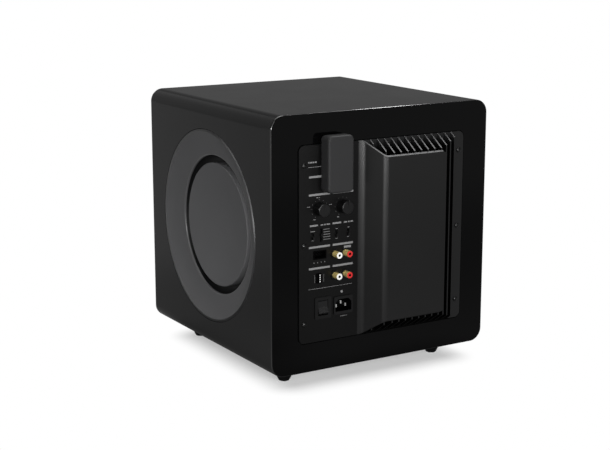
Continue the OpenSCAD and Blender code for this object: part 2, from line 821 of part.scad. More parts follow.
module heatsink() {
    base_w = sink_left_x + half_plate;
    tongue_w = sink_tongue_x - sink_flange_x - play;
    tongue_h = cutout_s - 2 * play;
    color(plate_colour) difference() {
        intersection() {
            union() {
                rear_box(sink_left_x - base_w / 2, 0, base_w, plate_s, plate_back, plate_out);
                for (k = [0:fins_n - 1]) let (x = fin_x - k * fin_pitch)
                    rear_box(x, 0, fin_t, plate_s, plate_out - eps, plate_out + fin_height(x));
                rear_box(sink_tongue_x - tongue_w / 2, 0, tongue_w, tongue_h, sink_back, plate_back + eps);
            }
            slanted_block(fin_slant, -half_plate, sink_tongue_x + past);
            on_rear(out = sink_back - past) linear_extrude(cover_out - sink_back + past)
                rounded_rect(plate_s, plate_s, plate_r);
        }
        at_plate_screws([-1]) translate([0, 0, sink_back - past])
            cylinder(r = screw_shank_r + screw_play, h = sink_back_t + sheet_t + 2 * past);
    }
}

module panel_gasket() {
    color(rubber) difference() {
        on_rear(out = recess_out) linear_extrude(gasket_t) difference() {
            rounded_rect(plate_s, plate_s, plate_r);
            square(cutout_s, center = true);
        }
        at_plate_screws() translate([0, 0, recess_out - past])
            cylinder(r = screw_shank_r + screw_play, h = gasket_t + 2 * past);
    }
}

module panel_screws() {
    head = [for (a = [0:10:90]) [screw_head_r * cos(a), screw_head_h * sin(a)]];
    slot = [3.6, 0.8, 1.2];
    color("#4a4a4c") at_plate_screws() difference() {
        union() {
            translate([0, 0, plate_out]) rotate_extrude() polygon(concat([[0, 0]], head));
            translate([0, 0, recess_out - plate_screw_l + past])
                cylinder(r = screw_shank_r, h = plate_out - recess_out + plate_screw_l - past + eps);
        }
        translate([0, 0, plate_out + screw_head_h])
            for (a = [0, 90]) rotate([0, 0, a]) cube(slot, center = true);
    }
}

// Boards and what they carry

module io_board() {
    mid = [(io_left + io_right) / 2, (io_top + io_bottom) / 2];
    color(circuit_green)
        rear_box(mid[0], mid[1], io_left - io_right, io_top - io_bottom, io_out, io_out + board_t);
}

// Upper (1) or lower (-1) board behind the heat sink
module sink_board(row) {
    h = board_top - board_gap / 2;
    mid = [(board_left + board_right) / 2, row * (board_top + board_gap / 2) / 2];
    rear_box(mid[0], mid[1], board_left - board_right, h, board_out - board_t, board_out);
}

module amp_board() {
    color(circuit_green) sink_board(1);
}

module power_board() {
    color(circuit_green) sink_board(-1);
}

module board_pillars() {
    color("#b8a060") for (x = [board_left - pillar_inset, board_right + pillar_inset], row = [-1, 1],
        z = [board_gap / 2 + pillar_inset, board_top - pillar_inset])
        rear_rod(x, row * z, pillar_r, board_out, sink_back);
}

// Output transistors on the heat sink; transformer, storage capacitors and coils on the boards
module power_components() {
    mid_x = (board_left + board_right) / 2;
    back = board_out - board_t;
    color("#2c2c30") {
        for (i = [-1.5:1:1.5])
            rear_box(mid_x + i * chip_pitch, board_top / 2, chip[0], chip[1], sink_back - chip[2], sink_back);
        rear_box(mid_x + core_x, -board_top / 2, core[0], core[1], back - core[2], back);
        for (i = [0, 1]) let (x = mid_x - can_x - i * can_pitch) {
            rear_rod(x, -board_top / 2 - can_drop, can_r, back - can_h, back);
            rear_rod(x, board_top / 2, choke_r, back - choke_h, back);
        }
    }
}

// Controls

module potentiometers() {
    body_back = io_out + board_t;
    color(steel) for (x = [volume_x, crossover_x]) difference() {
        union() {
            rear_box(x, knob_z, pot_w, pot_w, body_back, plate_back);
            rear_rod(x, knob_z, bush_r, plate_back - eps, plate_out);
        }
        rear_rod(x, knob_z, shaft_r + shaft_play, body_back + pot_floor_t, plate_out + past);
    }
}

// Grooved knob with its shaft and a pointer line on its face
module knob(x) {
    knob_r = knob_d / 2;
    h = knob_out - knob_back;
    groove_r = 0.7;
    edge_r = 1;
    foot_r = 0.4;
    color(black_plastic) on_rear(x, knob_z, knob_back) difference() {
        union() {
            rotate_extrude() polygon(concat([[0, 0], [knob_r - foot_r, 0], [knob_r, foot_r]],
                arc([knob_r - edge_r, h - edge_r], edge_r, 0, 90, 4), [[0, h]]));
            translate([0, 0, shaft_end - knob_back])
                cylinder(r = shaft_r, h = knob_back - shaft_end + pot_floor_t);
        }
        for (i = [0:knob_grooves - 1]) rotate([0, 0, i * 360 / knob_grooves])
            translate([knob_r + groove_r / 2, 0, edge_r])
                cylinder(r = groove_r, h = h - 2.6 * edge_r, $fn = 24);
        translate([0, knob_r * 0.6, h]) cube([edge_r, knob_r * 0.7, edge_r], center = true);
    }
}

module volume_knob() {
    knob(volume_x);
}

module crossover_knob() {
    knob(crossover_x);
}

// Open box behind the plate that guides one slider
module slide_body(x, z, travel) {
    body_back = io_out + board_t;
    w = slider_foot_w + 2 * play;
    h = slider_foot_h + travel + 2 * play;
    difference() {
        rear_box(x, z, w + 2 * switch_wall, h + 2 * switch_wall, body_back, plate_back);
        rear_box(x, z, w, h, plate_back - slider_foot_t - 2 * play, plate_back + past);
    }
}

module switch_bodies() {
    color(steel) {
        for (x = [auto_x, phase_x, mode_x]) slide_body(x, slide_z, slide_travel);
        slide_body(eq_x, eq_z, eq_travel);
    }
}

// Slider with a foot behind the plate and a ridged tip in front
module slider(x, z) {
    ridge = 0.5;
    foot_out = plate_back - play;
    color("#0c0c0d") difference() {
        union() {
            rear_box(x, z, slide_tip_w, slide_tip_h, foot_out - eps, slider_out);
            rear_box(x, z, slider_foot_w, slider_foot_h, foot_out - slider_foot_t, foot_out);
        }
        for (i = [-1, 0, 1]) let (ridge_z = z + i * slide_tip_h / 4)
            rear_box(x, ridge_z, slide_tip_w + past, ridge, slider_out - ridge, slider_out + past);
    }
}

module auto_power_slider() {
    slider(auto_x, slide_z - slide_travel / 2);
}

module room_eq_slider() {
    slider(eq_x, eq_z);
}

module phase_slider() {
    slider(phase_x, slide_z - slide_travel / 2);
}

module input_mode_slider() {
    slider(mode_x, slide_z - slide_travel / 2);
}

function dip_row(i) = dip_z + (1.5 - i) * dip_pitch;

module dip_block() {
    well_w = dip_tip + dip_travel + 2 * play;
    color("#101012") difference() {
        rear_box(dip_x, dip_z, dip_w, dip_h, io_out + board_t, dip_out);
        for (i = [0:3])
            rear_box(dip_x, dip_row(i), well_w, dip_tip + 2 * play, dip_out - dip_well, dip_out + past);
    }
}

module dip_slider(i) {
    foot_out = dip_out - dip_well + play;
    rest_x = dip_x - dip_travel / 2;
    color("#f2f2f0") rear_box(rest_x, dip_row(i), dip_tip, dip_tip, foot_out, dip_out + 2 * play);
}

module dip_slider_1() {
    dip_slider(0);
}

module dip_slider_2() {
    dip_slider(1);
}

module dip_slider_3() {
    dip_slider(2);
}

module dip_slider_4() {
    dip_slider(3);
}

// Sockets

module at_rca(columns = [0, 1]) {
    for (i = columns, z = rca_z) on_rear(rca_x[i], z) children();
}

// Plated barrel with a collar on the plate and an open tip
module rca_shells() {
    back = io_out + board_t;
    color("#c8a24a") at_rca() difference() {
        union() {
            translate([0, 0, back]) cylinder(r = rca_r, h = rca_out - rca_lap - back);
            translate([0, 0, plate_out]) cylinder(r = rca_collar_r, h = 1.6, $fn = 6);
        }
        translate([0, 0, back + rca_floor_t]) cylinder(r = rca_insert_r, h = rca_out - back);
    }
}

// Coloured insert with the centre hole; its front ring laps over the barrel's tip
module rca_insert(column) {
    back = io_out + board_t + rca_floor_t;
    at_rca([column]) difference() {
        union() {
            translate([0, 0, back]) cylinder(r = rca_insert_r - 2 * screw_play, h = rca_out - back);
            translate([0, 0, rca_out - rca_lap]) cylinder(r = rca_r - screw_play, h = rca_lap);
        }
        translate([0, 0, rca_out - rca_bore_l]) cylinder(r = rca_hole_r, h = rca_bore_l + past);
    }
}

module rca_inserts_white() {
    color("#f4f4f2") rca_insert(0);
}

module rca_inserts_red() {
    color("#d02020") rca_insert(1);
}

module speaker_terminal() {
    a = plate_out - terminal_depth;
    mouth = [terminal_w - 2 * terminal_wall, terminal_h - 2 * terminal_wall];
    color("#0e0e10") difference() {
        rear_box(terminal_x, terminal_z, terminal_w, terminal_h, a - terminal_wall, terminal_out);
        rear_box(terminal_x, terminal_z, mouth[0], mouth[1], a, terminal_out + past);
    }
}

// Mains socket outline: a rectangle with its two upper corners cut off
module inlet_outline(grow = 0) {
    w = inlet_w / 2 + grow;
    h = inlet_h / 2 + grow;
    polygon([
        [-w, -h], [w, -h], [w, h - inlet_cut], [w - inlet_cut, h], [inlet_cut - w, h], [-w, h - inlet_cut]]);
}

module mains_inlet() {
    a = plate_out - inlet_depth;
    color("#0a0a0b") difference() {
        union() {
            on_rear(inlet_x, inlet_z, a - inlet_wall) linear_extrude(inlet_depth + inlet_wall)
                inlet_outline(inlet_wall);
            on_rear(inlet_x, inlet_z, plate_out) linear_extrude(inlet_flange)
                rounded_rect(inlet_w + 2 * inlet_lap_x, inlet_h + 2 * inlet_lap_z, inlet_wall);
        }
        on_rear(inlet_x, inlet_z, a) linear_extrude(inlet_depth + inlet_flange + past) inlet_outline();
    }
}

// Three mains blades and the pins of the speaker socket
module contact_blades() {
    blade = [2, 4];
    blade_x = 7;
    blade_z = 2;
    a = plate_out - inlet_depth;
    color("#c8c8c8") {
        for (p = [[-blade_x, -blade_z], [blade_x, -blade_z], [0, blade_z]])
            rear_box(inlet_x + p[0], inlet_z + p[1], blade[0], blade[1], a, a + blade_l);
        for (i = [0:terminal_pins - 1])
            rear_box(terminal_x + (i - (terminal_pins - 1) / 2) * terminal_pitch, terminal_z, pin_s, pin_s,
                plate_out - terminal_depth, plate_out - terminal_depth + pin_l);
    }
}

// Frame of the power switch: bezel, open box behind it and the rocker's pin
module switch_frame() {
    well_w = rocker_w + 2 * play;
    well_h = 2 * rocker_r + 2 * play;
    pin_w = (frame_box_w + well_w) / 2;
    frame_back = plate_out - frame_depth;
    well_back = rocker_pivot_out - rocker_r - play;
    color("#141415") {
        difference() {
            union() {
                on_rear(rocker_x, rocker_z, plate_out) linear_extrude(bezel_t)
                    rounded_rect(frame_w, frame_h, bezel_r);
                rear_box(rocker_x, rocker_z, frame_box_w, frame_box_h, frame_back, plate_out + eps);
            }
            rear_box(rocker_x, rocker_z, well_w, well_h, well_back, plate_out + bezel_t + past);
        }
        translate([rocker_x - pin_w / 2, rear_y + rocker_pivot_out, mid_z + rocker_z]) rotate([0, 90, 0])
            cylinder(r = pivot_r, h = pin_w);
    }
}

// Rocker with a dished face, tipped to one end of its swing
module power_rocker() {
    heel = rocker_r / 2;
    tip = rocker_rise + rocker_dish;
    color("#2e2e30") translate([rocker_x, rear_y + rocker_pivot_out, mid_z + rocker_z])
        rotate([rocker_swing / 2, 0, 0]) rotate([90, 0, 90]) translate([0, 0, -rocker_w / 2])
            linear_extrude(rocker_w) difference() {
                intersection() {
                    circle(rocker_r);
                    polygon([[-heel, -rocker_r], [tip, -rocker_r], [rocker_rise, 0], [tip, rocker_r],
                        [-heel, rocker_r]]);
                }
                circle(pivot_r + shaft_play);
            }
}

// Plug-in receiver

module expansion_port() {
    color("#101012") difference() {
        rear_box(port_x, port_z, port_w, port_h, io_out + board_t, port_out);
        rear_box(port_x, port_z, plug_w + 2 * play, plug_h + 2 * play, port_out - port_depth, rx_back);
    }
}

module receiver_cover() {
    out = rx_back + rx_base_t;
    h = rx_t - rx_base_t;
    edge = arc([rx_corner_r - rx_edge_r, h - rx_edge_r], rx_edge_r, 0, 90, 6);
    profile = concat([[0, 0], [rx_corner_r, 0]], edge, [[0, h]]);
    color("#3c3c3f") on_rear(rx_x, rx_z, out) hull() for (sx = [-1, 1], sy = [-1, 1])
        translate([sx * (rx_w / 2 - rx_corner_r), sy * (rx_h / 2 - rx_corner_r), 0])
            rotate_extrude($fn = 48) polygon(profile);
}

module receiver_base() {
    color("#2a2a2c") {
        on_rear(rx_x, rx_z, rx_back) linear_extrude(rx_base_t)
            rounded_rect(rx_w - 2 * rx_step, rx_h - 2 * rx_step, rx_corner_r - rx_step);
        rear_box(port_x, port_z, plug_w, plug_h, rx_back - plug_l, rx_back + eps);
    }
}

cabinet_sleeve();
front_panel();
rear_panel();
brace();
driver_doublers();
feet();
foot_screws();
trim_ring(1);  // right_trim_ring
driver_frame(1);  // right_driver_frame
surround(1);  // right_surround
diaphragm(1);  // right_diaphragm
cone(1);  // right_cone
voice_coil(1);  // right_voice_coil
spider(1);  // right_spider
trim_ring(-1);  // left_trim_ring
driver_frame(-1);  // left_driver_frame
surround(-1);  // left_surround
diaphragm(-1);  // left_diaphragm
cone(-1);  // left_cone
voice_coil(-1);  // left_voice_coil
spider(-1);  // left_spider
top_plates();
magnets();
yokes();
driver_gaskets();
driver_screws();
control_panel();
heatsink();
panel_gasket();
panel_screws();
io_board();
amp_board();
power_board();
board_pillars();
power_components();
potentiometers();
volume_knob();
crossover_knob();
switch_bodies();
auto_power_slider();
room_eq_slider();
phase_slider();
input_mode_slider();
dip_block();
dip_slider_1();
dip_slider_2();
dip_slider_3();
dip_slider_4();
rca_shells();
rca_inserts_white();
rca_inserts_red();
speaker_terminal();
mains_inlet();
contact_blades();
switch_frame();
power_rocker();
expansion_port();
receiver_cover();
receiver_base();
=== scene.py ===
import json
import math

import bpy
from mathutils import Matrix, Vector


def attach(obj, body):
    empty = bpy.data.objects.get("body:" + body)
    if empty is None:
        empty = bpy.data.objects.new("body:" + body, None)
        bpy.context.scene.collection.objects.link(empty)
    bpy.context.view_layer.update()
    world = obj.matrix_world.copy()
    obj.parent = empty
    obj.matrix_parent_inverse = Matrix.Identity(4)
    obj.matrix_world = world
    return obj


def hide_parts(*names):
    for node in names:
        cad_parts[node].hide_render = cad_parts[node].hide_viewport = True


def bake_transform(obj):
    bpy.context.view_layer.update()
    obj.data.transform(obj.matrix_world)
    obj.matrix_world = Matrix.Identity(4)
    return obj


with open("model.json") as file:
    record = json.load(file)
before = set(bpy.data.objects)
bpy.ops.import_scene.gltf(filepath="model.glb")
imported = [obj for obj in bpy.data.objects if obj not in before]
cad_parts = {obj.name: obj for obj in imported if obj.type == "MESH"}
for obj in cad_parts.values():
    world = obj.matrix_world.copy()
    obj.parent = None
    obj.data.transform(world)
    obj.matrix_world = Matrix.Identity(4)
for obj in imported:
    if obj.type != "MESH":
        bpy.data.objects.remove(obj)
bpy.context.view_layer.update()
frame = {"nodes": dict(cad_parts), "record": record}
nodes = frame["nodes"]
scene = bpy.context.scene

# Places in the frame, in metres
MID_Y = -0.013
MID_Z = 0.188
REAR_Y = 0.155
SIDE_X = 0.165
PLATE_OUT = 0.001


# Building blocks of the node trees: they take output sockets and return one, or a node where they say so

def object_coords(tree):
    """Places on the object, in metres."""
    return tree.nodes.new("ShaderNodeTexCoord").outputs["Object"]


def noise(tree, coords, scale, detail, stretch=None):
    """Noise in object space, scale per metre, with an optional stretch of the axes."""
    made = tree.nodes.new("ShaderNodeTexNoise")
    made.inputs["Scale"].default_value = scale
    made.inputs["Detail"].default_value = detail
    made.inputs["Roughness"].default_value = 0.55
    if stretch:
        mapping = tree.nodes.new("ShaderNodeMapping")
        mapping.inputs["Scale"].default_value = stretch
        tree.links.new(coords, mapping.inputs["Vector"])
        coords = mapping.outputs["Vector"]
    tree.links.new(coords, made.inputs["Vector"])
    return made.outputs["Fac"]


def ramp(tree, source, spread, levels, smooth=False):
    """Maps the range spread of a value to the range levels."""
    made = tree.nodes.new("ShaderNodeMapRange")
    if smooth:
        made.interpolation_type = "SMOOTHSTEP"
    for socket, value in zip(("From Min", "From Max", "To Min", "To Max"), (*spread, *levels)):
        made.inputs[socket].default_value = value
    tree.links.new(source, made.inputs["Value"])
    return made.outputs["Result"]


def maths(tree, operation, first, second):
    """One step of arithmetic on two values."""
    made = tree.nodes.new("ShaderNodeMath")
    made.operation = operation
    tree.links.new(first, made.inputs[0])
    tree.links.new(second, made.inputs[1])
    return made.outputs["Value"]


def vector(tree, operation, source, other=None):
    """One step of arithmetic on a vector, with a fixed second vector where the step needs one."""
    made = tree.nodes.new("ShaderNodeVectorMath")
    made.operation = operation
    tree.links.new(source, made.inputs[0])
    if other:
        made.inputs[1].default_value = other
    return made.outputs["Value" if operation in ("LENGTH", "DISTANCE") else "Vector"]


def blend_colours(tree, share):
    """Returns a node that mixes two colours by a share; the colours go to its inputs A and B."""
    made = tree.nodes.new("ShaderNodeMix")
    made.data_type = "RGBA"
    tree.links.new(share, made.inputs["Factor"])
    return made


# Finished surfaces

# The part of the noise's range that holds nearly all its values
NOISE_SPREAD = (0.3, 0.7)
WIDE_DETAIL = 4.0
FINE_DETAIL = 2.0


def finish(name, colour, rough, metal=0.0, spec=0.5, grain=900.0, bump=0.1, depth=0.0001, tone=0.12,
           blotch=14.0, vary=0.08, stretch=None):
    """A finished surface: colour drift, uneven roughness and a fine grain in the normal."""
    mat = bpy.data.materials.new(name)
    mat.use_nodes = True
    tree = mat.node_tree
    bsdf = tree.nodes["Principled BSDF"]
    coords = object_coords(tree)
    wide = noise(tree, coords, blotch, WIDE_DETAIL, stretch)
    fine = noise(tree, coords, grain, FINE_DETAIL, stretch)

    mix = blend_colours(tree, ramp(tree, wide, NOISE_SPREAD, (0.0, 1.0)))
    mix.inputs["A"].default_value = (*(c * (1 - tone) for c in colour), 1)
    mix.inputs["B"].default_value = (*(c * (1 + tone) for c in colour), 1)
    tree.links.new(mix.outputs["Result"], bsdf.inputs["Base Color"])

    uneven = ramp(tree, wide, NOISE_SPREAD, (rough * (1 - vary), rough * (1 + vary)))
    tree.links.new(uneven, bsdf.inputs["Roughness"])

    relief = tree.nodes.new("ShaderNodeBump")
    relief.inputs["Strength"].default_value = bump
    relief.inputs["Distance"].default_value = depth
    tree.links.new(fine, relief.inputs["Height"])
    tree.links.new(relief.outputs["Normal"], bsdf.inputs["Normal"])

    bsdf.inputs["Metallic"].default_value = metal
    bsdf.inputs["Specular IOR Level"].default_value = spec
    return mat


# Colour and roughness come first, then what differs from the usual
FINISHES = {
    "black_lacquer": ((0.0006, 0.0006, 0.00065), 0.10,
                      dict(spec=0.105, grain=260, bump=0.015, depth=0.0002, tone=0.1, blotch=5, vary=0.15)),
    "fibreboard": ((0.33, 0.22, 0.13), 0.85, dict(spec=0.2, grain=700, bump=0.4, tone=0.2, blotch=90)),
    "black_rubber": ((0.0035, 0.0035, 0.0037), 0.50, dict(spec=0.16, grain=1600, bump=0.2, blotch=40)),
    "ring_plastic": ((0.080, 0.080, 0.0822), 0.45,
                     dict(spec=0.09, grain=2600, bump=0.12, blotch=8, tone=0.05)),
    "dish_metal": ((0.106, 0.106, 0.109), 0.40,
                   dict(spec=0.01, grain=2200, bump=0.08, blotch=7, tone=0.05)),
    "cone_paper": ((0.03, 0.03, 0.03), 0.9, dict(spec=0.15, grain=1300, bump=0.5, tone=0.2)),
    "coil_copper": ((0.62, 0.30, 0.15), 0.35, dict(metal=0.9, grain=3000, bump=0.3, stretch=(4, 0.2, 0.2))),
    "spider_cloth": ((0.52, 0.36, 0.12), 0.85, dict(spec=0.15, grain=1800, bump=0.6, tone=0.15)),
    "frame_cast": ((0.03, 0.03, 0.032), 0.55, dict(spec=0.4, grain=1100, bump=0.3)),
    "motor_steel": ((0.52, 0.52, 0.54), 0.32, dict(metal=1.0, grain=1500, bump=0.08)),
    "ferrite": ((0.05, 0.05, 0.054), 0.6, dict(spec=0.3, grain=1500, bump=0.4)),
    "screw_black": ((0.002, 0.002, 0.0021), 0.30, dict(spec=0.3, grain=3000)),
    "screw_zinc": ((0.5, 0.5, 0.52), 0.35, dict(metal=1.0, grain=3000)),
    "powder_coat": ((0.0008, 0.0008, 0.00084), 0.4,
                    dict(spec=0.15, grain=3200, bump=0.18, depth=0.00006, blotch=9, tone=0.06)),
    "sink_anodised": ((0.0025, 0.0025, 0.0026), 0.36,
                      dict(spec=0.33, grain=2400, bump=0.12, stretch=(1, 1, 0.03), blotch=30)),
    "board_green": ((0.02, 0.10, 0.035), 0.4, dict(grain=1200, bump=0.15, tone=0.2)),
    "brass_pillar": ((0.62, 0.48, 0.22), 0.3, dict(metal=1.0, grain=2000, bump=0.08)),
    "component_black": ((0.03, 0.03, 0.034), 0.5, dict(grain=1600, bump=0.15)),
    "knob_plastic": ((0.0012, 0.0012, 0.0013), 0.32, dict(spec=0.28, grain=2600, bump=0.12)),
    "control_plastic": ((0.002, 0.002, 0.0021), 0.42, dict(spec=0.2, grain=2600, bump=0.12)),
    "slider_white": ((0.50, 0.50, 0.49), 0.45, dict(grain=2600, bump=0.08, tone=0.04)),
    "gold_plate": ((0.52, 0.41, 0.15), 0.34, dict(metal=0.35, grain=2500, bump=0.05)),
    "insert_white": ((0.62, 0.62, 0.60), 0.35, dict(grain=2600, bump=0.05, tone=0.04)),
    "insert_red": ((0.42, 0.012, 0.012), 0.35, dict(grain=2600, bump=0.05, tone=0.06)),
    "contact_metal": ((0.75, 0.75, 0.74), 0.25, dict(metal=1.0, grain=2500, bump=0.06)),
    "rocker_plastic": ((0.005, 0.005, 0.0052), 0.40, dict(spec=0.22, grain=2600)),
    "receiver_plastic": ((0.018, 0.018, 0.0185), 0.55, dict(spec=0.12, grain=3000, bump=0.15, tone=0.05)),
    "dark_pin": ((0.006, 0.006, 0.0063), 0.35, dict(metal=0.8, grain=2500, bump=0.06)),
    # black for the black parts, painted shade in recesses, slots and holes
    "black_and_painted_shade": ((0.0006, 0.0006, 0.00063), 0.55, dict(spec=0.02, grain=2600, bump=0.12)),
    # painted highlight for upper ends that look up and out
    "painted_edge_highlight": ((0.05, 0.05, 0.051), 0.55, dict(grain=2400)),
    "rim_lacquer": ((0.0006, 0.0006, 0.00065), 0.10, dict(spec=0.85, grain=260, bump=0.015, depth=0.0002)),
    "ring_edge": ((0.060, 0.060, 0.0618), 0.32, dict(grain=2600)),
    "ring_rim": ((0.030, 0.030, 0.031), 0.42, dict(grain=2600)),
    # painted light at the top of the channels between the fins, running down into painted shade
    "painted_channel_shade": ((0.013, 0.013, 0.0133), 0.55, dict(spec=0.02, grain=2400)),
    "satin_lacquer": ((0.004, 0.004, 0.0041), 0.20, dict(spec=0.10, grain=260, bump=0.015, depth=0.0002)),
    # a lighter, glossier copy of powder_coat; the lighter colour is painted light on the slope and cover
    "cover_lit_coat": ((0.0012, 0.0012, 0.00125), 0.32,
                   dict(spec=0.35, grain=3200, bump=0.18, depth=0.00006, blotch=9, tone=0.06)),
    "print_ink": ((0.15, 0.15, 0.15), 0.6, dict(spec=0.3, grain=3500, tone=0.06, blotch=60)),
}
MATERIALS = {name: finish(name, colour, rough, **more) for name, (colour, rough, more) in FINISHES.items()}


def paints_shade_down(mat, top, bottom, deep):
    """Paints shade into a finish: its colour runs to the colour deep from the height top down to the height
    bottom.
    """
    tree = mat.node_tree
    base = tree.nodes["Principled BSDF"].inputs["Base Color"]
    colour = base.links[0].from_socket
    axes = tree.nodes.new("ShaderNodeSeparateXYZ")
    tree.links.new(object_coords(tree), axes.inputs["Vector"])
    mix = blend_colours(tree, ramp(tree, axes.outputs["Z"], (top, bottom), (0.0, 1.0)))
    tree.links.new(colour, mix.inputs["A"])
    mix.inputs["B"].default_value = (*deep, 1)
    tree.links.new(mix.outputs["Result"], base)


def leans_out(mat, tilt):
    """Tips the normal away from the drivers' axis, for the small chamfer on a ring's rim."""
    tree = mat.node_tree
    facing = vector(tree, "NORMALIZE", vector(tree, "SUBTRACT", object_coords(tree), (0.0, MID_Y, MID_Z)))
    even = vector(tree, "NORMALIZE", vector(tree, "MULTIPLY", facing, (tilt, 1.0, 1.0)))
    tree.links.new(even, tree.nodes["Principled BSDF"].inputs["Normal"])


# Painted light near the top of the channels between the fins, fading down into painted shade
paints_shade_down(MATERIALS["painted_channel_shade"], top=0.314, bottom=0.300, deep=(0.0006, 0.0006, 0.0006))
leans_out(MATERIALS["ring_rim"], tilt=0.30)


# Finishes of the CAD pieces

# Edges sharper than these stay sharp, on the CAD pieces and on those that scene.py makes
CREASE = math.radians(28)
SKIN_CREASE = math.radians(40)

for sub in frame["record"]["subparts"]:
    obj = nodes[sub["node"]]
    obj.data.materials.clear()
    obj.data.materials.append(MATERIALS[sub["material_slot"]])
    for face in obj.data.polygons:
        face.use_smooth = True
    obj.data.set_sharp_from_angle(angle=CREASE)


def refinish(node, name, test):
    """Gives the faces that pass the test a second finish."""
    mesh = nodes[node].data
    mesh.materials.append(MATERIALS[name])
    for face in mesh.polygons:
        if test(face):
            face.material_index = len(mesh.materials) - 1


def every_face(f):
    """A test that every face passes."""
    return True


def outer_end(f):
    """Faces of an upper end that look up and out, for a painted highlight."""
    return f.normal.z > 0.5 and f.normal.y > 0.3


def near_axis(x, z, r):
    """A test for faces round an axis that stands on the plate, in millimetres from the plate's middle."""
    return lambda f: math.hypot(f.center.x - x / 1000, f.center.z - MID_Z - z / 1000) < r / 1000


def from_axis(f):
    """Distance of a face from the drivers' axis."""
    return math.hypot(f.center.y - MID_Y, f.center.z - MID_Z)


# The pins of the speaker-level socket are blackened, the mains blades bright
SPEAKER_PINS_X = 0.085
refinish("contact_blades", "dark_pin", lambda f: f.center.x > SPEAKER_PINS_X)
# Black parts of the sockets and switches, and painted shade in the inlet's recess, on the switch bodies
# seen through their slots and on the sides of the sliders
refinish("speaker_terminal", "black_and_painted_shade", every_face)
refinish("dip_block", "black_and_painted_shade", every_face)
refinish("mains_inlet", "black_and_painted_shade", lambda f: f.center.y < REAR_Y + PLATE_OUT / 2)
refinish("switch_bodies", "black_and_painted_shade", lambda f: f.normal.y > 0.5)
for i in range(1, 5):
    refinish(f"dip_slider_{i}", "black_and_painted_shade", lambda f: f.normal.y < 0.7)
# The holes of the phono sockets carry painted shade, and their nuts are black, which also stands in for the
# shade at the barrels' foot, so that only the barrels show gold
PHONO_COLUMNS = (("rca_inserts_white", 73.5), ("rca_inserts_red", 58.0))
PHONO_ROWS = (-14.8, -42.2)
PHONO_HOLE_R = 1.75
for node, x in PHONO_COLUMNS:
    for z in PHONO_ROWS:
        refinish(node, "black_and_painted_shade", near_axis(x, z, PHONO_HOLE_R))
NUT_FROM = 0.0005
NUT_TO = 0.003
refinish("rca_shells", "screw_black", lambda f: NUT_FROM < f.center.y - REAR_Y < NUT_TO)

# Painted shade in the channels between the fins with painted light at their top, and a painted highlight on
# the upper ends of the fins and of the sheet
COMB_END_X = -0.107
FIN_ROOT = 0.0015


def in_channel(f):
    """Sides of the fins, and the base between them, for painted shade."""
    if f.center.y <= REAR_Y or f.center.x <= COMB_END_X:
        return False
    return abs(f.normal.x) > 0.7 or (f.normal.y > 0.9 and f.center.y < REAR_Y + FIN_ROOT)


refinish("heatsink", "painted_channel_shade", in_channel)
refinish("heatsink", "painted_edge_highlight", outer_end)
# The slope and the cover get a lighter, glossier copy of the control column's coat; its lighter colour is
# painted light
SLOPE_FOOT_X = 0.039
refinish("control_panel", "cover_lit_coat", lambda f: f.center.x < SLOPE_FOOT_X)
# Painted highlight on the sheet's upper ends
refinish("control_panel", "painted_edge_highlight", outer_end)

# Satin sides of the cabinet, and glossy rims of its two boards
FLAT = 0.97
UPRIGHT = 0.04
refinish("cabinet_sleeve", "satin_lacquer", every_face)
for node in ("rear_panel", "front_panel"):
    refinish(node, "satin_lacquer", lambda f: abs(f.normal.y) < FLAT)
    refinish(node, "rim_lacquer", lambda f: UPRIGHT < abs(f.normal.y) < FLAT)

# Inner lip and outer rim of the trim rings
LIP_R = 0.0945
RIM_R = 0.1255
for node in ("right_trim_ring", "left_trim_ring"):
    refinish(node, "ring_edge", lambda f: from_axis(f) < LIP_R)
    refinish(node, "ring_rim", lambda f: from_axis(f) > RIM_R)


# Pieces that scene.py makes

def mesh_piece(name, verts, faces, finish_name, smooth=True):
    """A new object with its finish and material slot."""
    mesh = bpy.data.meshes.new(name)
    mesh.from_pydata(verts, [], faces)
    mesh.update()
    obj = bpy.data.objects.new(name, mesh)
    scene.collection.objects.link(obj)
    mesh.materials.append(MATERIALS[finish_name])
    if smooth:
        for face in mesh.polygons:
            face.use_smooth = True
        mesh.set_sharp_from_angle(angle=SKIN_CREASE)
    return obj


def turned(name, side, outline, slot, steps):
    """A closed outline of (radius, depth below the cabinet's side) turned about a driver's axis."""
    verts = []
    faces = []
    n = len(outline)
    for i in range(steps):
        a = 2 * math.pi * i / steps
        for r, d in outline:
            verts.append((side * (SIDE_X - d), MID_Y + r * math.cos(a), MID_Z + r * math.sin(a)))
    for i in range(steps):
        here = i * n
        after = (i + 1) % steps * n
        for j in range(n):
            k = (j + 1) % n
            face = (here + j, here + k, after + k, after + j)
            faces.append(face if side > 0 else face[::-1])
    return mesh_piece(name, verts, faces, slot)


def surround_outline():
    """Flap on the frame's step, a rolled edge, and the glued lip on the cone."""
    thick = 0.0012
    lip_r, roll_r, flap_r = 0.0832, 0.085, 0.1032
    roll_w = 0.012
    seat, drop = 0.0153, 0.0132
    n = 20
    top = [(lip_r, seat + drop)]
    for i in range(n + 1):
        k = i / n
        bow = math.sin(math.pi / 2 * k)
        top.append((roll_r + roll_w * bow, seat + drop * (1 - bow * k)))
    top.append((flap_r, seat))
    return top + [(r, d + thick) for r, d in reversed(top)]


def spider_outline():
    """Corrugated cloth from the voice coil out to the frame's shelf."""
    thick = 0.0008
    coil_r, shelf_r = 0.0255, 0.062
    cloth_w = 0.0335
    seat, drop = 0.0555, 0.012
    wave, waves = 0.0005, 5
    n = 80
    top = []
    for i in range(n + 1):
        k = i / n
        top.append((coil_r + cloth_w * k, seat + drop * (1 - k) - wave * math.sin(2 * math.pi * waves * k)))
    top.append((shelf_r, seat))
    return top + [(r, d + thick) for r, d in reversed(top)]


